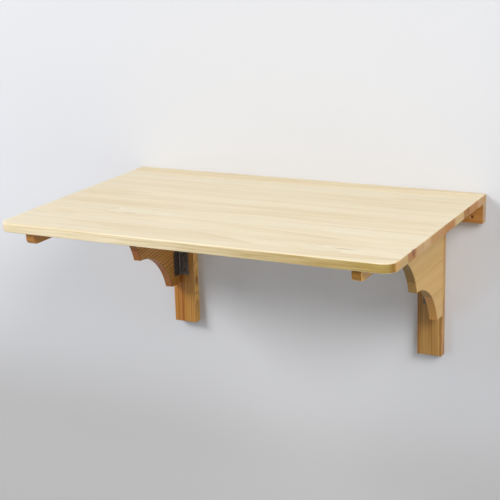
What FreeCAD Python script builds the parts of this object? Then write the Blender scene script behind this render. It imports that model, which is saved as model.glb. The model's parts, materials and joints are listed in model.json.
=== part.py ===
"""Wall mounted drop leaf table: a fixed rail and strip, a hinged leaf and two swing brackets.

Frame, in millimetres: X runs along the wall, the wall is the plane Y = 0 and the table stands
out towards -Y, Z is up. The origin lies on the wall, midway along the rail's row of screws.
"""
import FreeCAD
import Part
import math
import os

from FreeCAD import Vector

# ---------------------------------------------------------------- driving dimensions

# table top
top_length = 900.0
top_depth = 600.0
top_thickness = 20.0
top_corner_radius = 30.0
top_upper_round = 3.5
top_lower_round = 1.5

# fixed strip at the wall, and the joint in front of it
strip_depth = 54.0
joint_gap = 1.4

# rail under the strip
rail_height = 45.0
rail_thickness = 22.0
rail_screw_up = 14.0
rail_end_inset = 26.0
rail_inner_span = 280.0

# upright posts under the rail
post_length = 330.0
post_width = 60.0
post_thickness = 22.0
post_end_inset = 92.0
post_screw_drop = 20.0

# wall screw holes
wall_hole_radius = 2.5
wall_sink_radius = 5.0

# swing brackets, with two equal arcs in the outline, a little outboard of their posts
bracket_thickness = 20.0
bracket_outset = 2.0
bracket_nose = 56.0
bracket_foot = 37.0
arc_radius = 150.0
arc_sweep_degrees = 73.74

# battens under the leaf
batten_width = 20.0
batten_height = 25.0
batten_front_gap = 9.0
batten_rear_gap = 40.0
batten_end_radius = 13.0
batten_screw_count = 3
batten_screw_inset = 45.0
batten_screw_length = 36.0
batten_screw_radius = 2.0
batten_head_radius = 4.2

# butt hinges
hinge_length = 64.0
hinge_width = 24.0
hinge_plate = 2.0
knuckle_radius = 3.0
knuckle_count = 5
pin_radius = 1.5
pin_head_radius = 2.4
pin_head_height = 1.0
hinge_screw_count = 3
hinge_screw_row = 14.5
hinge_screw_stagger = 3.0
hinge_screw_inset = 10.0
hinge_screw_length = 15.0
hinge_screw_radius = 1.7
hinge_head_radius = 3.5
lower_hinge_up = 24.0
upper_hinge_drop = 42.0
leaf_hinge_inset = 45.0

# screw points, for every wood screw
screw_point_length = 4.0
screw_point_radius = 0.4

# clearances and small roundings
knuckle_lift = 0.2
knuckle_gap = 0.3
knuckle_side_gap = 0.3
pin_running_gap = 0.05
pin_head_gap = 0.1
bracket_top_gap = 0.3
bracket_back_gap = 2.0
batten_gap = 3.0
screw_gap = 0.05
head_sink = 0.05
arris = 1.2
joint_round = 0.8

# ---------------------------------------------------------------- derived places

half_length = top_length / 2
rail_bottom = -rail_screw_up
underside = rail_bottom + rail_height
top_level = underside + top_thickness
post_top = rail_bottom
post_bottom = post_top - post_length
leaf_back = -(strip_depth + joint_gap)
leaf_front = -top_depth
joint_line = -(strip_depth + joint_gap / 2)
pin_offset = knuckle_radius + knuckle_lift
post_outer = half_length - post_end_inset
bracket_outer = post_outer + bracket_outset
bracket_top = underside - bracket_top_gap
arc_sweep = math.radians(arc_sweep_degrees)
arc_run = arc_radius * math.sin(arc_sweep)
arc_drop = arc_radius * (1 - math.cos(arc_sweep))
bracket_reach = bracket_foot + 2 * arc_run
bracket_nose_bottom = underside - bracket_nose
bracket_cusp = bracket_nose_bottom - arc_drop
bracket_bottom = bracket_cusp - arc_drop
bracket_back = -(post_thickness + bracket_back_gap)
lower_hinge_level = bracket_bottom + lower_hinge_up + hinge_length / 2
upper_hinge_level = post_top - upper_hinge_drop - hinge_length / 2
between_hinges = (lower_hinge_level + upper_hinge_level) / 2

SIDES = {"left": -1, "right": 1}


# ---------------------------------------------------------------- helpers

def export(name, shape):
    """Write one node as a STEP file."""
    shape.exportStep(os.path.join("parts", name + ".step"))


def box(x0, x1, y0, y1, z0, z1):
    """A block between two corners, given in any order."""
    low = Vector(min(x0, x1), min(y0, y1), min(z0, z1))
    return Part.makeBox(abs(x1 - x0), abs(y1 - y0), abs(z1 - z0), low)


def edges_where(shape, test):
    """The edges whose two ends and middle all meet a test."""
    found = []
    for edge in shape.Edges:
        first, last = edge.ParameterRange
        points = [edge.valueAt(t) for t in (first, (first + last) / 2, last)]
        if all(test(p) for p in points):
            found.append(edge)
    return found


def near(a, b):
    """True where two lengths agree."""
    return abs(a - b) < 1e-4


def cone_head(radius, shank_radius, start, direction):
    """A 90 degree countersunk head whose flat top lies at start."""
    depth = radius - shank_radius
    return Part.makeCone(radius, shank_radius, depth, start, direction)


def screw(head_radius, shank_radius, length, start, direction):
    """A countersunk wood screw, with a pointed end and no thread."""
    straight = length - screw_point_length
    head = cone_head(head_radius, shank_radius, start, direction)
    shank = Part.makeCylinder(shank_radius, straight, start, direction)
    point = Part.makeCone(
        shank_radius, screw_point_radius, screw_point_length, start + direction * straight, direction
    )
    return head.fuse([shank, point]).removeSplitter()


def screw_hole(head_radius, shank_radius, length, start, direction):
    """The space that a countersunk screw takes, with its clearance."""
    bore = shank_radius + screw_gap
    mouth = Part.makeCylinder(head_radius + screw_gap, head_sink, start, direction * -1)
    head = cone_head(head_radius + screw_gap, bore, start, direction)
    shank = Part.makeCylinder(bore, length + screw_gap, start, direction)
    return head.fuse([shank, mouth])


def wall_hole(x, z, thickness):
    """A countersunk hole for a wall screw, driven from the front."""
    into_wall = Vector(0, 1, 0)
    shaft = Part.makeCylinder(wall_hole_radius, thickness, Vector(x, -thickness, z), into_wall)
    sink = cone_head(wall_sink_radius, wall_hole_radius, Vector(x, -thickness, z), into_wall)
    return shaft.fuse(sink)


def spread(count, low, high):
    """Evenly spaced places between two ends, both ends included."""
    if count < 2:
        return [(low + high) / 2]
    return [low + (high - low) * i / (count - 1) for i in range(count)]


# ---------------------------------------------------------------- butt hinge

class Hinge:
    """A butt hinge. Each plate has its own u (away from the pin) and v (from wood to pin)."""

    def __init__(self, name, centre, along, fixed_axes, moving_axes):
        self.name = name
        self.centre = centre
        self.along = along
        self.axes = {"fixed": fixed_axes, "moving": moving_axes}

    def place(self, side, u, v, w):
        """A point given in one plate's own directions."""
        out, lift = self.axes[side]
        return self.centre + out * u + lift * v + self.along * w

    def segments(self, side):
        """The stretches of the pin that one plate's knuckles hold."""
        length = (hinge_length - knuckle_gap * (knuckle_count - 1)) / knuckle_count
        parity = 0 if side == "fixed" else 1
        starts = []
        for i in range(parity, knuckle_count, 2):
            starts.append(-hinge_length / 2 + i * (length + knuckle_gap))
        return [(start, length) for start in starts]

    def slab(self, side, u0, u1, w0, w1):
        """A flat piece of plate between two distances from the pin."""
        corners = [
            self.place(side, u0, -pin_offset, w0),
            self.place(side, u1, -pin_offset, w0),
            self.place(side, u1, -pin_offset, w1),
            self.place(side, u0, -pin_offset, w1),
        ]
        face = Part.Face(Part.makePolygon(corners + corners[:1]))
        return face.extrude(self.axes[side][1] * hinge_plate)

    def screw_starts(self, side):
        """Where the screw heads lie flush in one plate."""
        ends = hinge_length / 2 - hinge_screw_inset
        starts = []
        for i, w in enumerate(spread(hinge_screw_count, -ends, ends)):
            row = hinge_screw_row + (hinge_screw_stagger if i % 2 else -hinge_screw_stagger)
            starts.append(self.place(side, row, hinge_plate - pin_offset - head_sink, w))
        return starts

    def plate(self, side):
        """One plate with its knuckles, bored for the pin and sunk for the screws."""
        half = hinge_length / 2
        inner = knuckle_radius + knuckle_side_gap
        body = self.slab(side, inner, hinge_width, -half, half)
        pieces = []
        for start, length in self.segments(side):
            pieces.append(self.slab(side, 0, inner, start, start + length))
            barrel_start = self.place(side, 0, 0, start)
            pieces.append(Part.makeCylinder(knuckle_radius, length, barrel_start, self.along))
        body = body.fuse(pieces).removeSplitter()
        bore_start = self.place(side, 0, 0, -half - knuckle_gap)
        bore = Part.makeCylinder(
            pin_radius + pin_running_gap, hinge_length + 2 * knuckle_gap, bore_start, self.along
        )
        return body.cut([bore] + self.screw_spaces(side))

    def screw_spaces(self, side):
        """The spaces of one plate's screws, in the plate and in the wood behind it."""
        inward = self.axes[side][1] * -1
        return [
            screw_hole(hinge_head_radius, hinge_screw_radius, hinge_screw_length, start, inward)
            for start in self.screw_starts(side)
        ]

    def screws(self, side):
        """One plate's screws."""
        inward = self.axes[side][1] * -1
        return Part.makeCompound([
            screw(hinge_head_radius, hinge_screw_radius, hinge_screw_length, start, inward)
            for start in self.screw_starts(side)
        ])

    def pin(self):
        """The pin, with a flat head at each end of the knuckles."""
        half = hinge_length / 2 + pin_head_gap
        start = self.place("fixed", 0, 0, -half)
        shaft = Part.makeCylinder(pin_radius, 2 * half, start, self.along)
        heads = [
            Part.makeCylinder(pin_head_radius, pin_head_height, start, self.along * -1),
            Part.makeCylinder(
                pin_head_radius, pin_head_height, self.place("fixed", 0, 0, half), self.along
            ),
        ]
        return shaft.fuse(heads).removeSplitter()

    def export_all(self):
        """Write the hinge's five nodes."""
        for side in ("fixed", "moving"):
            export(f"{self.name}_{side}_plate", self.plate(side))
            export(f"{self.name}_{side}_screws", self.screws(side))
        export(f"{self.name}_pin", self.pin())


def bracket_inner_face(side):
    """X of the bracket face that its hinges are screwed to."""
    return SIDES[side] * (bracket_outer - bracket_thickness)


def bracket_hinge(side, place, level):
    """A hinge in the corner between a post's front and a bracket's inner face."""
    inward = Vector(-SIDES[side], 0, 0)
    outward_from_wall = Vector(0, -1, 0)
    centre = Vector(
        bracket_inner_face(side) - SIDES[side] * pin_offset,
        -(post_thickness + pin_offset),
        level,
    )
    return Hinge(
        f"{side}_{place}_hinge",
        centre,
        Vector(0, 0, 1),
        (inward, outward_from_wall),
        (outward_from_wall, inward),
    )


def leaf_hinge(side):
    """A hinge flat under the joint between the strip and the leaf."""
    centre = Vector(
        SIDES[side] * (half_length - leaf_hinge_inset), joint_line, underside - pin_offset
    )
    down = Vector(0, 0, -1)
    return Hinge(
        f"{side}_leaf_hinge",
        centre,
        Vector(1, 0, 0),
        (Vector(0, 1, 0), down),
        (Vector(0, -1, 0), down),
    )


def side_hinges(side):
    """The two hinges of one bracket."""
    return [
        bracket_hinge(side, "upper", upper_hinge_level),
        bracket_hinge(side, "lower", lower_hinge_level),
    ]


# ---------------------------------------------------------------- wall pieces

def wall_rail():
    """The rail on the wall, with its row of screw holes."""
    rail = box(-half_length, half_length, -rail_thickness, 0, rail_bottom, underside)
    front_low = edges_where(rail, lambda p: near(p.y, -rail_thickness) and near(p.z, rail_bottom))
    rail = rail.makeFillet(arris, front_low)
    outer = half_length - rail_end_inset
    inner = rail_inner_span / 2
    holes = [wall_hole(x, 0, rail_thickness) for x in (-outer, -inner, inner, outer)]
    return rail.cut(holes)


def fixed_strip(hinges):
    """The narrow strip of top that stays on the rail."""
    strip = box(-half_length, half_length, -strip_depth, 0, underside, top_level)
    ends = edges_where(strip, lambda p: near(abs(p.x), half_length) and near(p.z, top_level))
    strip = strip.makeFillet(top_upper_round, ends)
    front = edges_where(strip, lambda p: near(p.y, -strip_depth) and near(p.z, top_level))
    strip = strip.makeFillet(joint_round, front)
    spaces = [s for hinge in hinges for s in hinge.screw_spaces("fixed")]
    return strip.cut(spaces)


def post(side, hinges):
    """One upright post, butted under the rail and screwed to the wall."""
    outer = SIDES[side] * post_outer
    inner = outer - SIDES[side] * post_width
    body = box(outer, inner, -post_thickness, 0, post_bottom, post_top)
    shown = edges_where(
        body,
        lambda p: near(p.y, -post_thickness)
        and (near(p.x, outer) or near(p.x, inner) or near(p.z, post_bottom)),
    )
    body = body.makeFillet(arris, shown)
    middle = (outer + inner) / 2
    levels = (post_top - post_screw_drop, between_hinges)
    holes = [wall_hole(middle, level, post_thickness) for level in levels]
    spaces = [s for hinge in hinges for s in hinge.screw_spaces("fixed")]
    return body.cut(holes + spaces)


# ---------------------------------------------------------------- brackets

def arc_point(start_out, start_level, share):
    """A point on a bracket arc that starts level and bends down towards the wall."""
    angle = arc_sweep * share
    return Vector(
        0,
        -(start_out - arc_radius * math.sin(angle)),
        start_level - arc_radius * (1 - math.cos(angle)),
    )


def bracket_outline():
    """The closed outline of a bracket, in a plane square to the wall."""
    out = -bracket_back
    nose_out = out + bracket_reach
    cusp_out = out + bracket_foot + arc_run
    foot_out = out + bracket_foot
    back_top = Vector(0, -out, bracket_top)
    nose_top = Vector(0, -nose_out, bracket_top)
    nose_low = Vector(0, -nose_out, bracket_nose_bottom)
    cusp = Vector(0, -cusp_out, bracket_cusp)
    foot = Vector(0, -foot_out, bracket_bottom)
    back_low = Vector(0, -out, bracket_bottom)
    upper_middle = arc_point(nose_out, bracket_nose_bottom, 0.5)
    lower_middle = arc_point(cusp_out, bracket_cusp, 0.5)
    return Part.Wire([
        Part.makeLine(back_top, nose_top),
        Part.makeLine(nose_top, nose_low),
        Part.Arc(nose_low, upper_middle, cusp).toShape(),
        Part.Arc(cusp, lower_middle, foot).toShape(),
        Part.makeLine(foot, back_low),
        Part.makeLine(back_low, back_top),
    ])


def bracket(side, hinges):
    """One swing bracket."""
    outer = SIDES[side] * bracket_outer
    inward = Vector(-SIDES[side] * bracket_thickness, 0, 0)
    outline = bracket_outline()
    outline.translate(Vector(outer, 0, 0))
    body = Part.Face(outline).extrude(inward)
    inner = bracket_inner_face(side)
    rim = edges_where(
        body,
        lambda p: (near(p.x, outer) or near(p.x, inner)) and p.z < bracket_top - arris
        and p.y < bracket_back - arris,
    )
    body = body.makeFillet(arris, rim)
    spaces = [s for hinge in hinges for s in hinge.screw_spaces("moving")]
    return body.cut(spaces)


# ---------------------------------------------------------------- leaf

def leaf_blank():
    """The leaf's board: square at the joint, rounded at the front corners and edges."""
    board = box(-half_length, half_length, leaf_front, leaf_back, underside, top_level)
    corners = edges_where(
        board, lambda p: near(p.y, leaf_front) and near(abs(p.x), half_length)
    )
    board = board.makeFillet(top_corner_radius, corners)
    upper = edges_where(
        board, lambda p: near(p.z, top_level) and not near(p.y, leaf_back)
    )
    board = board.makeFillet(top_upper_round, upper)
    lower = edges_where(
        board, lambda p: near(p.z, underside) and not near(p.y, leaf_back)
    )
    board = board.makeFillet(top_lower_round, lower)
    back = edges_where(board, lambda p: near(p.y, leaf_back) and near(p.z, top_level))
    return board.makeFillet(joint_round, back)


def batten_span(side):
    """The two X faces of a batten, which stands just outboard of its bracket."""
    inner = SIDES[side] * (bracket_outer + batten_gap)
    return inner, inner + SIDES[side] * batten_width


def batten_ends():
    """The batten's front and rear ends, in Y."""
    return leaf_front + batten_front_gap, leaf_back - batten_rear_gap


def batten(side):
    """A batten under the leaf, with a rounded lower front end."""
    inner, outer = batten_span(side)
    front, rear = batten_ends()
    low = underside - batten_height
    body = box(inner, outer, front, rear, low, underside)
    nose = edges_where(body, lambda p: near(p.y, front) and near(p.z, low))
    body = body.makeFillet(batten_end_radius, nose)
    lower = edges_where(
        body,
        lambda p: (near(p.x, inner) or near(p.x, outer))
        and p.z < underside - arris
        and p.y < rear - arris,
    )
    body = body.makeFillet(arris, lower)
    return body.cut(batten_screw_spaces(side))


def batten_screw_starts(side):
    """Where the batten's screw heads lie flush in its lower face."""
    inner, outer = batten_span(side)
    front, rear = batten_ends()
    places = spread(batten_screw_count, front + batten_screw_inset, rear - batten_screw_inset)
    low = underside - batten_height + head_sink
    return [Vector((inner + outer) / 2, y, low) for y in places]


def batten_screw_spaces(side):
    """The spaces of a batten's screws, in the batten and in the leaf."""
    up = Vector(0, 0, 1)
    return [
        screw_hole(batten_head_radius, batten_screw_radius, batten_screw_length, start, up)
        for start in batten_screw_starts(side)
    ]


def batten_screws(side):
    """The screws that hold a batten to the leaf."""
    up = Vector(0, 0, 1)
    return Part.makeCompound([
        screw(batten_head_radius, batten_screw_radius, batten_screw_length, start, up)
        for start in batten_screw_starts(side)
    ])


def leaf(hinges):
    """The drop leaf, with the holes for its hinge and batten screws."""
    spaces = [s for hinge in hinges for s in hinge.screw_spaces("moving")]
    for side in SIDES:
        spaces += batten_screw_spaces(side)
    return leaf_blank().cut(spaces)


# ---------------------------------------------------------------- assembly

os.makedirs("parts", exist_ok=True)

leaf_hinges = [leaf_hinge(side) for side in SIDES]

export("wall_rail", wall_rail())
export("fixed_strip", fixed_strip(leaf_hinges))
export("leaf", leaf(leaf_hinges))
for leaf_side_hinge in leaf_hinges:
    leaf_side_hinge.export_all()

for table_side in SIDES:
    hinges_here = side_hinges(table_side)
    export(f"{table_side}_post", post(table_side, hinges_here))
    export(f"{table_side}_bracket", bracket(table_side, hinges_here))
    export(f"{table_side}_batten", batten(table_side))
    export(f"{table_side}_batten_screws", batten_screws(table_side))
    for bracket_side_hinge in hinges_here:
        bracket_side_hinge.export_all()
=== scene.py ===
"""Wall mounted drop leaf table in varnished pine, dressed piece by piece as it is put together."""
import json
import math

import bmesh
import bpy
from mathutils import Euler, Matrix, Vector


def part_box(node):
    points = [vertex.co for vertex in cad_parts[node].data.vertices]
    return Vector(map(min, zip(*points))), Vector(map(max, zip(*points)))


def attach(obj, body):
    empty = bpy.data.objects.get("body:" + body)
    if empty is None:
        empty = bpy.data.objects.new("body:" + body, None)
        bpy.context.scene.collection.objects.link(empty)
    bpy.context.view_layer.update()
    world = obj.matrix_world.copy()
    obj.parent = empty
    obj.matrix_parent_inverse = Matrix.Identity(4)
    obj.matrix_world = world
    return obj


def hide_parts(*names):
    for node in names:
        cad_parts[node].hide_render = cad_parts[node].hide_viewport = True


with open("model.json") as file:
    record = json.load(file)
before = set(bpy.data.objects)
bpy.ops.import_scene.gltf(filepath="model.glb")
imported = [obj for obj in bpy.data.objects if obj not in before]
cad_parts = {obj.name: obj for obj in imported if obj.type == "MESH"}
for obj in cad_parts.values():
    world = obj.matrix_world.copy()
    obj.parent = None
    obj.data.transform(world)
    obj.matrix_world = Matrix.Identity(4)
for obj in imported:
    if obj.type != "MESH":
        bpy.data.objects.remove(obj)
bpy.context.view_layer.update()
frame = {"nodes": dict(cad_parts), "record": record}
nodes = frame["nodes"]


# ---------------------------------------------------------------- wall rail
# A pine rail lies flat on the wall and carries the whole table on four screws.
# It is one flat-sawn board, planed, with its lower front arris broken, and varnished like the rest.

def add_node(tree, kind, inputs=None, **settings):
    """Add a node, set it up, and return it. An input that is given as a socket is linked."""
    made = tree.nodes.new(kind)
    for name, value in settings.items():
        setattr(made, name, value)
    for key, value in (inputs or {}).items():
        if isinstance(value, bpy.types.NodeSocket):
            tree.links.new(value, made.inputs[key])
        else:
            made.inputs[key].default_value = value
    return made


def reckon(tree, operation, *values, clamp=False):
    """The result of a Math node."""
    inputs = dict(enumerate(values))
    return add_node(tree, "ShaderNodeMath", inputs, operation=operation, use_clamp=clamp).outputs[0]


def times(tree, first, second):
    """One value times another."""
    return reckon(tree, "MULTIPLY", first, second)


def times_plus(tree, first, second, third):
    """One value times another, plus a third."""
    return reckon(tree, "MULTIPLY_ADD", first, second, third)


def less(tree, first, second):
    """One value less another."""
    return reckon(tree, "SUBTRACT", first, second)


def size_of(tree, value):
    """A value without its sign."""
    return reckon(tree, "ABSOLUTE", value)


def smooth(tree, value, low, high, out_low=0.0, out_high=1.0):
    """A soft step between two values."""
    made = add_node(
        tree,
        "ShaderNodeMapRange",
        {"Value": value, "From Min": low, "From Max": high, "To Min": out_low, "To Max": out_high},
        interpolation_type="SMOOTHSTEP",
    )
    return made.outputs["Result"]


def along_each(tree, vector):
    """The three parts of a vector."""
    return add_node(tree, "ShaderNodeSeparateXYZ", {0: vector}).outputs


def vector_from(tree, x, y, z):
    """A vector put together from its parts."""
    return add_node(tree, "ShaderNodeCombineXYZ", {"X": x, "Y": y, "Z": z}).outputs[0]


def vector_result(tree, operation, first, second):
    """The vector that a Vector Math node makes of two."""
    return add_node(tree, "ShaderNodeVectorMath", {0: first, 1: second}, operation=operation).outputs[0]


def stretched(tree, point, along, across):
    """A point scaled along the grain and across it, each in waves to the metre where it feeds a noise."""
    return vector_result(tree, "MULTIPLY", point, (along, across, across))


def turned_by(tree, vector, turn):
    """A vector turned about the origin."""
    made = add_node(tree, "ShaderNodeMapping", {"Vector": vector, "Rotation": turn}, vector_type="POINT")
    return made.outputs[0]


def noise(tree, point, detail=2.0, roughness=0.5):
    """Noise from 0 to 1 at a point that is already scaled."""
    values = {"Vector": point, "Scale": 1.0, "Detail": detail, "Roughness": roughness}
    return add_node(tree, "ShaderNodeTexNoise", values).outputs["Fac"]


def random_from(tree, value, salt):
    """A random number from 0 to 1 that belongs to a value. Each draw has a salt of its own."""
    mixed = reckon(tree, "ADD", value, salt)
    return add_node(tree, "ShaderNodeTexWhiteNoise", {"W": mixed}, noise_dimensions="1D").outputs["Value"]


def random_between(tree, value, salt, low, high):
    """A random number between two limits that belongs to a value."""
    return times_plus(tree, random_from(tree, value, salt), high - low, low)


def group_with(name, inputs, outputs):
    """An empty shader node group with its sockets, and the ends inside it."""
    tree = bpy.data.node_groups.new(name, "ShaderNodeTree")
    for label, kind, value in inputs:
        socket = tree.interface.new_socket(label, in_out="INPUT", socket_type="NodeSocket" + kind)
        if value is not None:
            socket.default_value = value
    for label in outputs:
        tree.interface.new_socket(label, in_out="OUTPUT", socket_type="NodeSocketFloat")
    return tree, tree.nodes.new("NodeGroupInput").outputs, tree.nodes.new("NodeGroupOutput").inputs


def make_growth_rings():
    """Growth rings of a pine log, seen where a board is cut through it. X runs along the grain."""
    tree, given, put = group_with(
        "growth_rings",
        [
            ("Point", "Vector", None),
            ("Board", "Float", 0.0),
            ("Ring Spacing", "Float", 0.003),
            ("Unevenness", "Float", 0.0012),
            ("Swirl", "Float", 0.0),
        ],
        ["Late Wood", "Ring Tone"],
    )
    board = given["Board"]
    apart = vector_from(tree, random_from(tree, board, salt=11.3), random_from(tree, board, salt=4.7), 0.0)
    farthest_jump = 9.0
    jump = vector_result(tree, "MULTIPLY", apart, (farthest_jump, farthest_jump, 0.0))
    moved = vector_result(tree, "ADD", given["Point"], jump)
    slow = noise(tree, stretched(tree, moved, along=1.6, across=9.0), detail=1.0)
    fine = noise(tree, stretched(tree, moved, along=9.0, across=60.0))

    # The pith of the log lies above or below the board, a little to one side, and leans along it.
    parts = along_each(tree, given["Point"])
    side = smooth(tree, random_from(tree, board, salt=1.9), 0.49, 0.51, -1.0, 1.0)
    pith_across = random_between(tree, board, salt=2.3, low=-0.035, high=0.035)
    pith_deep = random_between(tree, board, salt=6.1, low=0.022, high=0.077)
    lean = random_between(tree, board, salt=8.9, low=-0.03, high=0.03)
    deep = times(tree, side, times_plus(tree, parts["X"], lean, pith_deep))
    across = less(tree, parts["Y"], pith_across)
    down = less(tree, parts["Z"], deep)
    squares = reckon(tree, "ADD", times(tree, across, across), times(tree, down, down))
    radius = reckon(tree, "SQRT", squares)
    slow_drift = 0.022
    radius = times_plus(tree, slow, slow_drift, radius)
    radius = times_plus(tree, fine, given["Unevenness"], radius)
    radius = reckon(tree, "ADD", radius, given["Swirl"])

    # In each ring late wood darkens slowly outwards and stops short, more in some years than others.
    count = reckon(tree, "DIVIDE", radius, given["Ring Spacing"])
    whole = reckon(tree, "FLOOR", count)
    share = less(tree, count, whole)
    rise = smooth(tree, share, low=0.30, high=0.90)
    fall = smooth(tree, share, low=0.93, high=1.0, out_low=1.0, out_high=0.0)
    strength = random_between(tree, whole, salt=3.1, low=0.35, high=1.0)
    tree.links.new(times(tree, times(tree, rise, fall), strength), put["Late Wood"])
    tree.links.new(random_from(tree, whole, salt=17.0), put["Ring Tone"])
    return tree


def make_pine_fibre():
    """Fine fibre streaks, short resin ducts, soft blotches, pores and broad bands along the grain."""
    tree, given, put = group_with(
        "pine_fibre", [("Point", "Vector", None)], ["Fibre", "Resin", "Blotch", "Speckle", "Band"]
    )
    point = given["Point"]
    streak = noise(tree, stretched(tree, point, along=14.0, across=900.0), detail=3.0, roughness=0.6)
    hair = noise(tree, stretched(tree, point, along=60.0, across=2600.0), detail=1.0)
    hair_share = 0.3
    fibre = reckon(tree, "ADD", times(tree, streak, 1.0 - hair_share), times(tree, hair, hair_share))
    duct = noise(tree, stretched(tree, point, along=55.0, across=1500.0), detail=0.0)
    pores = noise(tree, stretched(tree, point, along=300.0, across=1700.0))
    band = noise(tree, stretched(tree, point, along=3.5, across=150.0), detail=1.0)
    tree.links.new(smooth(tree, fibre, low=0.30, high=0.70), put["Fibre"])
    tree.links.new(smooth(tree, duct, low=0.76, high=0.82), put["Resin"])
    tree.links.new(noise(tree, stretched(tree, point, along=3.0, across=16.0)), put["Blotch"])
    tree.links.new(smooth(tree, pores, low=0.35, high=0.75), put["Speckle"])
    tree.links.new(smooth(tree, band, low=0.46, high=0.70), put["Band"])
    return tree


growth_rings = make_growth_rings()
pine_fibre = make_pine_fibre()


def blend_colour(tree, kind, share, first, second):
    """Two colours mixed by a share. Each is a colour or a socket."""
    def filled(colour):
        return colour if isinstance(colour, bpy.types.NodeSocket) else (*colour, 1.0)

    share_input, first_colour, second_colour, colour_output = 0, 6, 7, 2
    values = {share_input: share, first_colour: filled(first), second_colour: filled(second)}
    return add_node(tree, "ShaderNodeMix", values, data_type="RGBA", blend_type=kind).outputs[colour_output]


def by_stave(tree, position, edges, colours):
    """A colour of its own for each stave, where the edges of the staves are given in order."""
    low, high = edges[0], edges[-1]
    run = add_node(tree, "ShaderNodeMapRange", {"Value": position, "From Min": low, "From Max": high})
    ramp = add_node(tree, "ShaderNodeValToRGB", {"Fac": run.outputs["Result"]})
    ramp.color_ramp.interpolation = "CONSTANT"
    steps = ramp.color_ramp.elements
    steps.remove(steps[1])
    for edge, colour in zip(edges, colours):
        step = steps[0] if edge == low else steps.new((edge - low) / (high - low))
        step.color = (*colour, 1.0)
    return ramp.outputs["Color"]


def glue_lines(tree, position, joints, half_width):
    """1 on the thin lines where staves are glued, and 0 elsewhere."""
    nearest = None
    for joint in joints:
        gap = size_of(tree, less(tree, position, joint))
        nearest = gap if nearest is None else reckon(tree, "MINIMUM", nearest, gap)
    softness = 0.6
    full, none = half_width * (1.0 - softness), half_width * (1.0 + softness)
    return smooth(tree, nearest, full, none, out_low=1.0, out_high=0.0)


def knot_marks(tree, point, knots):
    """How far the knots bend the rings round them, and how dark they are.
    A knot has a place, a size, a depth of colour, and a share by which it is shorter along the grain."""
    bend, dark = 0.0, 0.0
    for centre, size, depth, shorter in knots:
        away = vector_result(tree, "SUBTRACT", point, centre)
        scaled = stretched(tree, away, along=shorter, across=1.0)
        distance = add_node(tree, "ShaderNodeVectorMath", {0: scaled}, operation="LENGTH").outputs["Value"]
        ragged_rim = size * 0.8
        dark_core, dark_rim = size * 0.7, size * 1.7
        bent_rim, bent_most = size * 4.5, size * 1.6
        wobble = times(tree, noise(tree, stretched(tree, point, along=300.0, across=500.0)), ragged_rim)
        reach = reckon(tree, "ADD", distance, wobble)
        bend = reckon(tree, "ADD", bend, smooth(tree, distance, 0.0, bent_rim, bent_most, 0.0))
        dark = reckon(tree, "MAXIMUM", dark, smooth(tree, reach, dark_core, dark_rim, depth, 0.0))
    return bend, dark


def place_in_log(tree, parts, board, tilt, quartered, staves):
    """Where a point lies in the log that its board or stave was sawn from, and that board's number."""
    number, local = board, parts["Y"]
    if staves:
        edges = staves["edges"]
        span = edges[-1] - edges[0]
        golden_step = 0.618
        numbers = [((i + 1) * golden_step + board) % 1.0 for i in range(len(edges) - 1)]
        centres = [((a + b) / 2 - edges[0]) / span for a, b in zip(edges, edges[1:])]
        number = by_stave(tree, local, edges, [(n, n, n) for n in numbers])
        stave_middle = by_stave(tree, local, edges, [(c, c, c) for c in centres])
        local = less(tree, local, times_plus(tree, stave_middle, span, edges[0]))
    lying = vector_from(tree, parts["X"], local, parts["Z"])
    flat = along_each(tree, turned_by(tree, lying, (0.0, 0.0, tilt)))
    boards_apart = 7.3
    along = times_plus(tree, number, boards_apart, flat["X"])
    across, deep = (flat["Z"], flat["Y"]) if quartered else (flat["Y"], flat["Z"])
    return vector_from(tree, along, across, deep), number


def planed_face(tree, rings, fibre, number, early, late, contrast, warmth, banded):
    """The colour of a planed face, from pale early wood to dark late wood."""
    late_share = reckon(tree, "MULTIPLY", rings["Late Wood"], contrast, clamp=True)
    colour = blend_colour(tree, "MIX", late_share, early, late)
    tints = {
        "warmer stave": (times(tree, random_from(tree, number, salt=31.7), warmth), (1.0, 0.86, 0.66)),
        "darker ring": (times(tree, rings["Ring Tone"], contrast), (0.84, 0.76, 0.62)),
        "fibre": (times(tree, fibre["Fibre"], 0.4), (0.93, 0.87, 0.78)),
        "blotch": (smooth(tree, fibre["Blotch"], low=0.42, high=0.75), (0.95, 0.91, 0.84)),
        "broad band": (times(tree, fibre["Band"], banded), (0.66, 0.52, 0.36)),
    }
    for share, tint in tints.values():
        colour = blend_colour(tree, "MULTIPLY", share, colour, tint)
    resin_share, resin = 0.3, (0.42, 0.22, 0.09)
    return blend_colour(tree, "MIX", times(tree, fibre["Resin"], resin_share), colour, resin)


def sawn_end(tree, rings, fibre, ends):
    """The colour of end grain, with dark rings and fine pores."""
    ring_share, dark_ring, pore = 0.7, (0.66, 0.50, 0.36), (0.86, 0.78, 0.68)
    ringed = blend_colour(tree, "MULTIPLY", times(tree, rings["Late Wood"], ring_share), ends, dark_ring)
    return blend_colour(tree, "MULTIPLY", fibre["Speckle"], ringed, pore)


def new_material(name):
    """An empty material and its tree."""
    material = bpy.data.materials.new(name)
    material.use_nodes = True
    material.node_tree.nodes.clear()
    return material, material.node_tree


def finish_surface(tree, surface):
    """Lead a surface to its material's output."""
    tree.links.new(surface.outputs[0], add_node(tree, "ShaderNodeOutputMaterial").inputs[0])


def dress(node_name, material):
    """Give a frame piece its finish."""
    nodes[node_name].data.materials.clear()
    nodes[node_name].data.materials.append(material)


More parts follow.
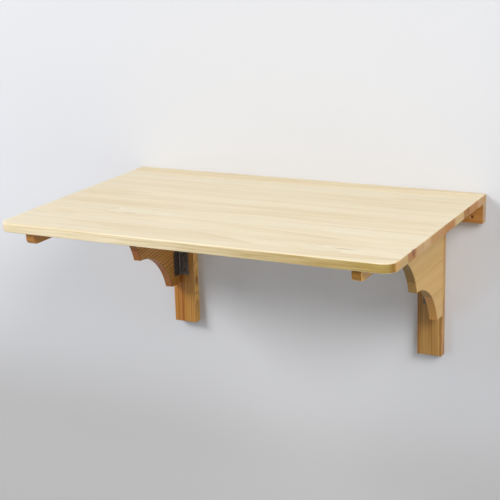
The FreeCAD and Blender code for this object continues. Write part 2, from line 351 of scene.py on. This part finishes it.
def paint_pine(node_name, turn, board, early, late, ends, spacing, tilt=0.0, contrast=0.75, warmth=0.35,
               quartered=False, uneven=0.0012, banded=0.0, end_turn=(0.55, 0.92), staves=None, knots=(),
               overlay=None):
    """Varnished pine on one piece. turn brings its grain to X and its wide face to Z."""
    material, tree = new_material(node_name + "_pine")
    low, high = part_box(node_name)
    middle = (low + high) / 2
    where = add_node(tree, "ShaderNodeTexCoord").outputs
    place = turned_by(tree, vector_result(tree, "SUBTRACT", where["Object"], middle), turn)
    parts = along_each(tree, place)
    facing = along_each(tree, turned_by(tree, where["Normal"], turn))
    sawn, number = place_in_log(tree, parts, board, tilt, quartered, staves)
    brought = Euler(turn).to_matrix()
    turned_knots = [(brought @ (Vector(spot) - middle), *rest) for spot, *rest in knots]
    bend, dark = knot_marks(tree, place, turned_knots)
    ring_inputs = {
        "Point": sawn, "Board": number, "Ring Spacing": spacing, "Unevenness": uneven, "Swirl": bend,
    }
    rings = add_node(tree, "ShaderNodeGroup", ring_inputs, node_tree=growth_rings).outputs
    fibre = add_node(tree, "ShaderNodeGroup", {"Point": sawn}, node_tree=pine_fibre).outputs

    if staves:
        ends = by_stave(tree, parts["Y"], staves["edges"], staves["ends"])
    face = planed_face(tree, rings, fibre, number, early, late, contrast, warmth, banded)
    end = smooth(tree, size_of(tree, facing["X"]), *end_turn)
    colour = blend_colour(tree, "MIX", end, face, sawn_end(tree, rings, fibre, ends))
    if overlay:
        colour = overlay(tree, colour, parts, facing)
    knot_heart = (0.19, 0.055, 0.018)
    colour = blend_colour(tree, "MIX", dark, colour, knot_heart)

    planed_rough, fibre_rough, end_rough = 0.34, 0.10, 0.14
    rough = times_plus(tree, fibre["Fibre"], fibre_rough, planed_rough)
    rough = times_plus(tree, end, end_rough, rough)
    ring_height, fibre_height, glue_depth = 0.6, 0.4, 1.2
    height = times_plus(tree, rings["Late Wood"], ring_height, times(tree, fibre["Fibre"], fibre_height))
    if staves:
        glue = glue_lines(tree, parts["Y"], staves["edges"][1:-1], staves["glue"])
        glue_tint = (0.5, 0.36, 0.22)
        colour = blend_colour(tree, "MULTIPLY", times(tree, glue, staves["shade"]), colour, glue_tint)
        height = less(tree, height, times(tree, glue, glue_depth))
    bump = add_node(tree, "ShaderNodeBump", {"Height": height, "Strength": 0.35, "Distance": 0.00012})
    varnished = {
        "Base Color": colour,
        "Roughness": rough,
        "Normal": bump.outputs[0],
        "Coat Weight": 0.16,
        "Coat Roughness": 0.26,
        "Specular IOR Level": 0.36,
    }
    finish_surface(tree, add_node(tree, "ShaderNodeBsdfPrincipled", varnished))
    dress(node_name, material)


grain_along_wall = (math.pi / 2, 0.0, 0.0)
paint_pine(
    "wall_rail", grain_along_wall, board=0.62, early=(0.49, 0.235, 0.060), late=(0.29, 0.11, 0.025),
    ends=(0.51, 0.34, 0.20), spacing=0.0042,
)


# ---------------------------------------------------------------- fixed strip
# A narrow strip of the top is glued on the rail and stays on the wall.
# Its front edge meets the leaf with a thin gap, over the two leaf hinges.

grain_flat = (0.0, 0.0, 0.0)
paint_pine(
    "fixed_strip", grain_flat, board=0.27, early=(0.86, 0.74, 0.50), late=(0.74, 0.55, 0.31),
    ends=(0.54, 0.34, 0.16), spacing=0.0036, contrast=0.5,
)


# ---------------------------------------------------------------- posts
# Two upright boards are screwed to the wall under the rail, with their grain upright.
# The brackets hang on their front faces, and the left one has a knot in its inner edge.

def tone_and_side_light(outer, inner, line, side):
    """A board whose tone changes across its width, with one dark line, and painted light on its side face.
    """
    def tone(tree, colour, parts, facing):
        on_board = vector_from(tree, parts["X"], parts["Y"], 0.0)
        drift = noise(tree, stretched(tree, on_board, along=7.0, across=40.0))
        wander = 0.012
        across = times_plus(tree, drift, wander, less(tree, parts["Y"], wander / 2))
        both = blend_colour(tree, "MIX", smooth(tree, across, low=-0.006, high=0.014), outer, inner)
        colour = blend_colour(tree, "MULTIPLY", 1.0, colour, both)
        near = size_of(tree, less(tree, across, line))
        on_line = smooth(tree, near, low=0.0004, high=0.0030, out_low=0.85, out_high=0.0)
        colour = blend_colour(tree, "MULTIPLY", on_line, colour, (0.62, 0.44, 0.30))
        # Painted light: the side face is multiplied by its own tint, which lightens it as if light reached
        # it from the right.
        on_edge = smooth(tree, facing["Y"], low=0.5, high=0.8)
        return blend_colour(tree, "MULTIPLY", on_edge, colour, side)
    return tone


grain_up = (math.pi / 2, 0.0, math.pi / 2)
paint_pine(
    "left_post", grain_up, board=0.83, early=(0.515, 0.244, 0.048), late=(0.270, 0.099, 0.016),
    ends=(0.30, 0.13, 0.03), spacing=0.0060, contrast=0.5, warmth=0.2, quartered=True,
    uneven=0.006, banded=0.7, knots=[((-0.299, -0.010, -0.232), 0.008, 0.8, 0.55)],
    # The side tint is painted light that brightens this post's inner side face.
    overlay=tone_and_side_light(
        outer=(1.04, 0.98, 0.92), inner=(1.04, 1.14, 1.32), line=-0.006, side=(1.85, 2.15, 2.7)
    ),
)
paint_pine(
    "right_post", grain_up, board=0.41, early=(0.51, 0.312, 0.097), late=(0.225, 0.104, 0.020),
    ends=(0.30, 0.15, 0.04), spacing=0.0050, contrast=0.5, warmth=0.2, quartered=True,
    uneven=0.006, banded=0.8,
    # The side tint is painted light, a slight lightening of this post's side face.
    overlay=tone_and_side_light(
        outer=(0.90, 0.88, 0.90), inner=(1.04, 1.04, 1.06), line=0.027, side=(1.06, 1.02, 0.98)
    ),
)


# ---------------------------------------------------------------- swing brackets
# Each bracket is sawn from a glued pine panel to a double arc, with its grain running out from the wall.
# It swings on two butt hinges and carries the leaf when it stands open.

grain_out_upright = (-math.pi / 2, -math.pi / 2, 0.0)
bracket_low, bracket_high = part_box("left_bracket")
bracket_staves = 4
stave_height = (bracket_high.z - bracket_low.z) / bracket_staves
bracket_edges = [stave_height * (i - bracket_staves / 2) for i in range(bracket_staves + 1)]
arc_shows_end_grain = (0.10, 0.50)
paint_pine(
    "left_bracket", grain_out_upright, board=0.13, early=(0.74, 0.385, 0.100), late=(0.27, 0.100, 0.020),
    ends=None, spacing=0.0072, tilt=-0.12, contrast=0.85, warmth=0.2, quartered=True, uneven=0.003,
    end_turn=arc_shows_end_grain,
    staves={
        "edges": bracket_edges, "glue": 0.0006, "shade": 0.6,
        # One end grain colour per stave, from the bottom up, partly the wood's own and partly painted light
        # and shade: darkened where the arcs lie in shade, and the top stave, at the nose, lightened though
        # the leaf shades it.
        "ends": [(0.40, 0.16, 0.040), (0.42, 0.15, 0.040), (0.27, 0.098, 0.026), (0.76, 0.28, 0.080)],
    },
)
paint_pine(
    "right_bracket", grain_out_upright, board=0.47, early=(0.68, 0.445, 0.155), late=(0.485, 0.27, 0.074),
    ends=None, spacing=0.0058, contrast=0.55, warmth=0.2, quartered=True, uneven=0.003,
    end_turn=arc_shows_end_grain,
    staves={
        "edges": bracket_edges, "glue": 0.0006, "shade": 0.6,
        # One end grain colour per stave, from the bottom up, partly painted shade: it darkens stave by
        # stave towards the top, where the leaf shades the upper arc.
        "ends": [(0.58, 0.30, 0.080), (0.38, 0.23, 0.065), (0.27, 0.16, 0.035), (0.20, 0.125, 0.030)],
    },
)


# ---------------------------------------------------------------- leaf
# The leaf is a panel of long pine staves glued edge to edge, planed and varnished.
# Its front corners are rounded and its outer edges eased, and its ends show the staves' end grain.

def shade_and_heart_on_front_edge(tree, colour, parts, facing):
    """The front edge turns from pale at the left to yellow-brown towards the right: partly the darker heart
    of the wood, partly painted shade, as if the light fell from the left.
    """
    forward = smooth(tree, times(tree, facing["Y"], -1.0), low=0.25, high=0.55)
    upright = smooth(tree, size_of(tree, facing["Z"]), low=0.25, high=0.70, out_low=1.0, out_high=0.0)
    on_edge = vector_from(tree, parts["X"], parts["Z"], 0.0)
    streaks = noise(tree, stretched(tree, on_edge, along=9.0, across=260.0), detail=3.0)
    # Partly painted shade: the front face darkens from about the middle towards the right end.
    darkening_start, darkening_gain, streak_reach = -0.02, 1.55, 0.35
    run = less(tree, times_plus(tree, streaks, streak_reach, parts["X"]), darkening_start)
    share = reckon(tree, "MULTIPLY", run, darkening_gain, clamp=True)
    heartwood_and_shade, dark_streak = (0.50, 0.40, 0.14), (0.86, 0.82, 0.72)
    edge = blend_colour(tree, "MULTIPLY", share, colour, heartwood_and_shade)
    edge = blend_colour(tree, "MULTIPLY", smooth(tree, streaks, low=0.35, high=0.72), edge, dark_streak)
    return blend_colour(tree, "MIX", times(tree, forward, upright), colour, edge)


leaf_low, leaf_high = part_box("leaf")
leaf_middle_y = (leaf_low.y + leaf_high.y) / 2
stave_joints = (-0.560, -0.520, -0.474, -0.429, -0.384, -0.340, -0.296, -0.229, -0.168, -0.122)
leaf_edges = [y - leaf_middle_y for y in (leaf_low.y, *stave_joints, leaf_high.y)]
paint_pine(
    "leaf", grain_flat, board=0.18, early=(0.88, 0.795, 0.60), late=(0.78, 0.64, 0.42),
    ends=None, spacing=0.0038, contrast=0.42, warmth=0.2, overlay=shade_and_heart_on_front_edge,
    staves={
        "edges": leaf_edges, "glue": 0.0005, "shade": 0.35,
        "ends": [
            (0.59, 0.37, 0.135), (0.54, 0.38, 0.165), (0.42, 0.20, 0.053), (0.55, 0.35, 0.155),
            (0.60, 0.40, 0.19), (0.50, 0.28, 0.09), (0.50, 0.27, 0.096), (0.46, 0.21, 0.052),
            (0.64, 0.46, 0.21), (0.40, 0.185, 0.038), (0.50, 0.245, 0.080),
        ],
    },
    knots=[
        ((-0.22, -0.43, 0.051), 0.010, 0.12, 0.55),
        ((0.451, -0.489, 0.044), 0.0092, 1.0, 1.6),
        ((0.451, -0.136, 0.044), 0.0058, 0.9, 1.6),
        ((0.325, -0.532, 0.051), 0.0024, 0.5, 0.09),
    ],
)


# ---------------------------------------------------------------- battens
# Two battens stiffen the leaf across its staves, screwed on from below.
# Their front ends are rounded off underneath, and they stand just outboard of the brackets.

grain_out_flat = (0.0, 0.0, -math.pi / 2)
paint_pine(
    "left_batten", grain_out_flat, board=0.55, early=(0.60, 0.325, 0.098), late=(0.34, 0.138, 0.033),
    ends=(0.52, 0.24, 0.062), spacing=0.0035,
)
# The right batten's end grain is darker than the left's: partly painted shade for the shade under the leaf.
paint_pine(
    "right_batten", grain_out_flat, board=0.19, early=(0.88, 0.54, 0.110), late=(0.58, 0.275, 0.044),
    ends=(0.33, 0.16, 0.024), spacing=0.0035,
)


# ---------------------------------------------------------------- butt hinges
# Six pressed steel hinges: blackened plates rolled round a steel pin, three screws to a plate.
# Two carry each bracket on its post, and two join the leaf to the strip from below.

def make_steel(name, mottled, fine, tones, rough, metallic, grain_depth):
    """Steel with two tones. mottled and fine say how close its patches and its grain lie."""
    material, tree = new_material(name)
    where = add_node(tree, "ShaderNodeTexCoord").outputs["Object"]
    grain = noise(tree, stretched(tree, where, fine["waves"], fine["waves"]), detail=fine["detail"])
    patches = grain
    if mottled:
        spread = stretched(tree, where, mottled["waves"], mottled["waves"])
        patches = noise(tree, spread, detail=mottled["detail"])
    bump = add_node(
        tree, "ShaderNodeBump", {"Height": grain, "Strength": grain_depth[0], "Distance": grain_depth[1]}
    )
    steel = {
        "Base Color": blend_colour(tree, "MIX", smooth(tree, patches, low=0.30, high=0.75), *tones),
        "Roughness": times_plus(tree, grain, rough[1] - rough[0], rough[0]),
        "Metallic": metallic,
        "Normal": bump.outputs[0],
    }
    finish_surface(tree, add_node(tree, "ShaderNodeBsdfPrincipled", steel))
    return material


def settle(piece):
    """Turn a piece and its modifiers into a plain mesh."""
    bpy.context.view_layer.update()
    finished = bpy.data.meshes.new_from_object(piece.evaluated_get(bpy.context.evaluated_depsgraph_get()))
    piece.modifiers.clear()
    piece.data = finished


def soften(node_name, width):
    """A merged copy of a frame piece with its sharp edges taken off."""
    same_place, same_plane = 0.000001, math.radians(1.0)
    work = bmesh.new()
    work.from_mesh(nodes[node_name].data)
    bmesh.ops.remove_doubles(work, verts=work.verts, dist=same_place)
    bmesh.ops.dissolve_limit(
        work, angle_limit=same_plane, verts=work.verts, edges=work.edges, delimit={"NORMAL"}
    )
    mesh = bpy.data.meshes.new(node_name + "_pressed")
    work.to_mesh(mesh)
    work.free()
    if "custom_normal" in mesh.attributes:
        mesh.attributes.remove(mesh.attributes["custom_normal"])
    piece = bpy.data.objects.new(node_name + "_pressed", mesh)
    bpy.context.scene.collection.objects.link(piece)
    bevel = piece.modifiers.new("edges", "BEVEL")
    bevel.width = width
    bevel.segments = 2
    bevel.limit_method = "ANGLE"
    bevel.angle_limit = math.radians(40.0)
    bevel.use_clamp_overlap = True
    settle(piece)
    piece.data.shade_smooth()
    piece.data.set_sharp_from_angle(angle=math.radians(35.0))
    return piece


blackened_steel = make_steel(
    "blackened_steel", mottled={"waves": 180.0, "detail": 4.0}, fine={"waves": 1500.0, "detail": 2.0},
    tones=[(0.10, 0.090, 0.083), (0.21, 0.18, 0.15)], rough=(0.26, 0.48), metallic=0.7,
    grain_depth=(0.25, 0.0001),
)
body_of = {name: body for body, names in frame["record"]["behaviour"]["bodies"].items() for name in names}
plate_edge = 0.0003
for name in sorted(nodes):
    if name.endswith("_plate"):
        plate = soften(name, plate_edge)
        plate.data.materials.clear()
        plate.data.materials.append(blackened_steel)
        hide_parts(name)
        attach(plate, body_of[name])
    elif name.endswith("_pin"):
        dress(name, blackened_steel)


# ---------------------------------------------------------------- wood screws
# Countersunk steel screws with a cross recess hold the hinge plates and the battens.
# Each has a plain neck, a rolled thread and a point, and stops at a turn of its own.

def cone(tree, sides, bottom, top, depth):
    """A cone or a cylinder that stands on the origin."""
    values = {"Vertices": sides, "Radius Bottom": bottom, "Radius Top": top, "Depth": depth}
    return add_node(tree, "GeometryNodeMeshCone", values).outputs["Mesh"]


def moved_up(tree, mesh, up):
    """A mesh moved along the screw."""
    values = {"Geometry": mesh, "Translation": vector_from(tree, 0.0, 0.0, up)}
    return add_node(tree, "GeometryNodeTransform", values).outputs[0]


def screw_head(tree, head_radius, shank_radius, head_depth, sides):
    """A countersunk head with a cross cut into it."""
    arms = 4
    recess_width, recess_foot, recess_depth = 0.66, 0.26, 0.80
    recess = cone(
        tree,
        2 * arms,
        times(tree, head_radius, recess_width),
        times(tree, head_radius, recess_foot),
        times(tree, head_depth, recess_depth),
    )
    between_arms = reckon(tree, "MODULO", add_node(tree, "GeometryNodeInputIndex").outputs[0], 2.0)
    drawn_in_by = 0.68
    waist = times_plus(tree, between_arms, -drawn_in_by, 1.0)
    place = add_node(tree, "GeometryNodeInputPosition").outputs[0]
    crossed = vector_result(tree, "MULTIPLY", place, vector_from(tree, waist, waist, 1.0))
    recess = add_node(tree, "GeometryNodeSetPosition", {"Geometry": recess, "Position": crossed}).outputs[0]
    above_head = -0.0001
    solids = {
        "Mesh 1": cone(tree, sides, head_radius, shank_radius, head_depth),
        "Mesh 2": moved_up(tree, recess, above_head),
    }
    return add_node(tree, "GeometryNodeMeshBoolean", solids, operation="DIFFERENCE").outputs["Mesh"]


def screw_thread(tree, core_radius, shank_radius, thread_length, pitch):
    """A three-sided ridge that winds round the core."""
    ridge_size, steps_per_turn, ridge_sides = 0.26, 12, 3
    winding = {
        "Resolution": steps_per_turn,
        "Rotations": reckon(tree, "DIVIDE", thread_length, pitch),
        "Start Radius": core_radius,
        "End Radius": core_radius,
        "Height": thread_length,
    }
    spiral = add_node(tree, "GeometryNodeCurveSpiral", winding).outputs["Curve"]
    ridge_shape = {"Resolution": ridge_sides, "Radius": times(tree, shank_radius, ridge_size)}
    ridge = add_node(tree, "GeometryNodeCurvePrimitiveCircle", ridge_shape).outputs["Curve"]
    swept = {"Curve": spiral, "Profile Curve": ridge, "Fill Caps": True}
    return add_node(tree, "GeometryNodeCurveToMesh", swept).outputs["Mesh"]


def whole_screw(tree, given):
    """One screw from its head, at the origin, to its point."""
    head_radius, shank_radius, length = given["Head Radius"], given["Shank Radius"], given["Length"]
    round_sides, core_sides = 32, 12
    core_share, plain_share, point_share, tip_share = 0.72, 0.34, 2.2, 0.2
    head_depth = less(tree, head_radius, shank_radius)
    core_radius = times(tree, shank_radius, core_share)
    tip_radius = times(tree, core_radius, tip_share)
    thread_start = times(tree, length, plain_share)
    point_length = times(tree, shank_radius, point_share)
    thread_length = less(tree, less(tree, length, thread_start), point_length)
    head = screw_head(tree, head_radius, shank_radius, head_depth, round_sides)
    neck = cone(tree, round_sides, shank_radius, shank_radius, less(tree, thread_start, head_depth))
    core = cone(tree, core_sides, core_radius, core_radius, thread_length)
    thread = screw_thread(tree, core_radius, shank_radius, thread_length, given["Thread Pitch"])
    point = cone(tree, core_sides, core_radius, tip_radius, point_length)
    screw = tree.nodes.new("GeometryNodeJoinGeometry")
    tree.links.new(head, screw.inputs[0])
    tree.links.new(moved_up(tree, neck, head_depth), screw.inputs[0])
    tree.links.new(moved_up(tree, core, thread_start), screw.inputs[0])
    tree.links.new(moved_up(tree, thread, thread_start), screw.inputs[0])
    tree.links.new(moved_up(tree, point, less(tree, length, point_length)), screw.inputs[0])
    return screw.outputs[0]


def make_screw_tree():
    """A tree that sets a countersunk screw at every point, driven along the point's own aim."""
    tree = bpy.data.node_groups.new("countersunk_screws", "GeometryNodeTree")
    tree.interface.new_socket("Geometry", in_out="INPUT", socket_type="NodeSocketGeometry")
    for label in ("Head Radius", "Shank Radius", "Length", "Thread Pitch"):
        tree.interface.new_socket(label, in_out="INPUT", socket_type="NodeSocketFloat")
    tree.interface.new_socket("Seed", in_out="INPUT", socket_type="NodeSocketInt")
    tree.interface.new_socket("Material", in_out="INPUT", socket_type="NodeSocketMaterial")
    tree.interface.new_socket("Geometry", in_out="OUTPUT", socket_type="NodeSocketGeometry")
    given = tree.nodes.new("NodeGroupInput").outputs

    aim = add_node(tree, "GeometryNodeInputNamedAttribute", {"Name": "aim"}, data_type="FLOAT_VECTOR")
    aimed = {"Vector": aim.outputs["Attribute"]}
    driven = add_node(tree, "FunctionNodeAlignRotationToVector", aimed, axis="Z")
    stop = add_node(tree, "FunctionNodeRandomValue", {"Seed": given["Seed"]}, data_type="FLOAT")
    highest_float, float_value = 3, 1
    stop.inputs[highest_float].default_value = math.pi / 2
    about_screw = {"Axis": (0.0, 0.0, 1.0), "Angle": stop.outputs[float_value]}
    spin = add_node(tree, "FunctionNodeAxisAngleToRotation", about_screw)
    both_turns = {"Rotation": driven.outputs[0], "Rotate By": spin.outputs[0]}
    stopped = add_node(tree, "FunctionNodeRotateRotation", both_turns, rotation_space="LOCAL")

    screw = whole_screw(tree, given)
    on_points = {"Points": given["Geometry"], "Instance": screw, "Rotation": stopped.outputs[0]}
    placed = add_node(tree, "GeometryNodeInstanceOnPoints", on_points)
    real = add_node(tree, "GeometryNodeRealizeInstances", {"Geometry": placed.outputs[0]})
    coated = {"Geometry": real.outputs[0], "Material": given["Material"]}
    finished = add_node(tree, "GeometryNodeSetMaterial", coated)
    tree.links.new(finished.outputs[0], tree.nodes.new("NodeGroupOutput").inputs[0])
    return tree


def screw_places(node_name):
    """The middle of each screw's head and the way it is driven, read from the frame's solids."""
    low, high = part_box(node_name)
    row = max(range(3), key=lambda axis: high[axis] - low[axis])
    points = sorted((v.co.copy() for v in nodes[node_name].data.vertices), key=lambda p: p[row])
    clear_gap, same_level = 0.006, 0.0001
    groups = [[points[0]]]
    for point in points[1:]:
        if point[row] - groups[-1][-1][row] > clear_gap:
            groups.append([])
        groups[-1].append(point)
    places = []
    for group in groups:
        small = Vector(min(p[axis] for p in group) for axis in range(3))
        large = Vector(max(p[axis] for p in group) for axis in range(3))
        shaft = max(range(3), key=lambda axis: large[axis] - small[axis])
        beside = (shaft + 1) % 3
        middle = (small + large) / 2

        def width_at(level):
            return max(abs(p[beside] - middle[beside]) for p in group if abs(p[shaft] - level) < same_level)

        head_is_low = width_at(small[shaft]) > width_at(large[shaft])
        top = middle.copy()
        top[shaft] = small[shaft] if head_is_low else large[shaft]
        aim = Vector((0.0, 0.0, 0.0))
        aim[shaft] = 1.0 if head_is_low else -1.0
        places.append((top, aim))
    return places


screw_tree = make_screw_tree()
screw_inputs = [item for item in screw_tree.interface.items_tree if item.in_out == "INPUT"]
socket_named = {item.name: item.identifier for item in screw_inputs}


def drive_screws(name, body, cad_nodes, sizes, seed, material):
    """Set the screws of one body in place of the frame's plain ones."""
    places = [place for node in cad_nodes for place in screw_places(node)]
    mesh = bpy.data.meshes.new(name)
    mesh.from_pydata([top for top, aim in places], [], [])
    aims = mesh.attributes.new("aim", "FLOAT_VECTOR", "POINT")
    for i, (top, aim) in enumerate(places):
        aims.data[i].vector = aim
    screws = bpy.data.objects.new(name, mesh)
    bpy.context.scene.collection.objects.link(screws)
    maker = screws.modifiers.new("screws", "NODES")
    maker.node_group = screw_tree
    for label, value in {**sizes, "Seed": seed, "Material": material}.items():
        maker[socket_named[label]] = value
    settle(screws)
    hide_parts(*cad_nodes)
    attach(screws, body)


hinge_screw = {"Head Radius": 0.0035, "Shank Radius": 0.0017, "Length": 0.015, "Thread Pitch": 0.0014}
screwed_bodies = ("wall_frame", "leaf", "left_bracket", "right_bracket")
for seed, body in enumerate(screwed_bodies):
    found = [n for n in sorted(nodes) if body_of[n] == body and "hinge" in n and n.endswith("_screws")]
    drive_screws(body + "_hinge_screws", body, found, hinge_screw, seed, blackened_steel)

zinc_steel = make_steel(
    "zinc_steel", mottled=None, fine={"waves": 5200.0, "detail": 3.0},
    tones=[(0.62, 0.60, 0.56), (0.52, 0.50, 0.47)], rough=(0.22, 0.42), metallic=1.0,
    grain_depth=(0.1, 0.00003),
)
batten_screw = {"Head Radius": 0.0042, "Shank Radius": 0.0020, "Length": 0.036, "Thread Pitch": 0.0018}
drive_screws(
    "batten_screws", "leaf", ["left_batten_screws", "right_batten_screws"], batten_screw,
    len(screwed_bodies), zinc_steel,
)


# ---------------------------------------------------------------- wall, floor, light and camera
# A pale wall that is only seen from the room, painted darker towards the floor as painted shade, and a pale
# floor well below.
# Soft square lamps stand round the room, and the camera looks down from the right.

def make_pale(name, colour, shaded_bottom_colour, own_light=0.0):
    """Matte paint that can be looked through from behind, darkening towards the bottom as painted shade.
    own_light keeps it pale to the eye.
    """
    material, tree = new_material(name)
    height = along_each(tree, add_node(tree, "ShaderNodeTexCoord").outputs["Object"])["Z"]
    # Painted shade: low on the wall the colour falls to the darker bottom colour, standing in for light
    # that falls off downwards.
    tone = blend_colour(tree, "MIX", smooth(tree, height, low=-0.72, high=-0.36), shaded_bottom_colour, colour)
    paint = add_node(tree, "ShaderNodeBsdfDiffuse", {"Color": tone}).outputs[0]
    pale = (0.80, 0.80, 0.80, 1.0)
    glow = add_node(tree, "ShaderNodeEmission", {"Color": pale, "Strength": 1.0}).outputs[0]
    seen = add_node(tree, "ShaderNodeLightPath").outputs["Is Camera Ray"]
    glowing = {0: times(tree, seen, own_light), 1: paint, 2: glow}
    paint = add_node(tree, "ShaderNodeMixShader", glowing).outputs[0]
    back = add_node(tree, "ShaderNodeNewGeometry").outputs["Backfacing"]
    clear = add_node(tree, "ShaderNodeBsdfTransparent").outputs[0]
    finish_surface(tree, add_node(tree, "ShaderNodeMixShader", {0: back, 1: paint, 2: clear}))
    return material


def make_sheet(name, corners, material):
    """A flat backdrop through four corners."""
    mesh = bpy.data.meshes.new(name)
    mesh.from_pydata(corners, [], [tuple(range(len(corners)))])
    mesh.materials.append(material)
    sheet = bpy.data.objects.new(name, mesh)
    bpy.context.scene.collection.objects.link(sheet)
    sheet.visible_shadow = False
    return sheet


floor_level, floor_reach = -1.05, 6.0
wall_back, wall_reach, wall_top = 0.0004, 3.0, 3.0
wall = make_sheet(
    "wall",
    [
        (-wall_reach, wall_back, floor_level),
        (wall_reach, wall_back, floor_level),
        (wall_reach, wall_back, wall_top),
        (-wall_reach, wall_back, wall_top),
    ],
    make_pale("wall_paint", (0.69, 0.70, 0.73), (0.53, 0.53, 0.535)),
)
wall.visible_diffuse = False
floor_grey = (0.42, 0.42, 0.42)
make_sheet(
    "floor",
    [
        (-floor_reach, -floor_reach, floor_level),
        (floor_reach, -floor_reach, floor_level),
        (floor_reach, floor_reach, floor_level),
        (-floor_reach, floor_reach, floor_level),
    ],
    make_pale("floor_paint", floor_grey, floor_grey, own_light=0.7),
)

world = bpy.data.worlds.new("studio")
bpy.context.scene.world = world
world.use_nodes = True
world_tree = world.node_tree
paths = add_node(world_tree, "ShaderNodeLightPath").outputs
seen = reckon(world_tree, "MAXIMUM", paths["Is Camera Ray"], paths["Is Glossy Ray"])
lighting_level, seen_level = 0.08, 0.75
level = smooth(world_tree, seen, 0.0, 1.0, lighting_level, seen_level)
around = world_tree.nodes["Background"]
around.inputs["Color"].default_value = (0.93, 0.95, 1.0, 1.0)
world_tree.links.new(level, around.inputs["Strength"])


def add_lamp(name, place, aim, size, watts):
    """A soft square lamp that faces a point."""
    lamp = bpy.data.lights.new(name, "AREA")
    lamp.shape = "SQUARE"
    lamp.size = size
    lamp.energy = watts
    held = bpy.data.objects.new(name, lamp)
    held.location = place
    held.rotation_euler = (Vector(aim) - Vector(place)).to_track_quat("-Z", "Y").to_euler()
    held.visible_glossy = False
    held.visible_camera = False
    bpy.context.scene.collection.objects.link(held)


add_lamp("key_lamp", place=(-3.96, -3.08, 2.95), aim=(0.0, -0.2, 0.0), size=2.5, watts=270.0)
add_lamp("front_lamp", place=(-2.60, -3.00, -0.20), aim=(0.0, -0.2, -0.1), size=1.2, watts=14.0)
add_lamp("fill_lamp", place=(3.65, -3.26, 3.00), aim=(0.0, -0.2, 0.0), size=2.5, watts=190.0)
add_lamp("side_lamp", place=(4.19, -1.32, 2.10), aim=(0.0, -0.2, 0.0), size=1.8, watts=56.0)
add_lamp("low_lamp", place=(2.60, -2.20, -0.60), aim=(0.0, -0.2, -0.2), size=1.6, watts=7.0)
add_lamp("back_lamp", place=(1.20, 2.60, 1.80), aim=(0.0, 0.0, 0.0), size=2.4, watts=26.0)

focal_pixels = 1254.0
frame_pixels = 500.0
camera_data = bpy.data.cameras.new("camera")
camera_data.sensor_width = 36.0
camera_data.lens = camera_data.sensor_width * focal_pixels / frame_pixels
camera = bpy.data.objects.new("camera", camera_data)
camera_place = (1.2108, -2.6818, 0.7115)
right = Vector((0.89535, 0.44444, -0.02848))
up = Vector((-0.09675, 0.25653, 0.96168))
ahead = Vector((-0.43472, 0.85829, -0.27269))
stance = Matrix((right, up, -ahead)).transposed().to_4x4()
camera.matrix_world = Matrix.Translation(camera_place) @ stance
bpy.context.scene.collection.objects.link(camera)
bpy.context.scene.camera = camera
bpy.context.scene.view_settings.view_transform = "Standard"
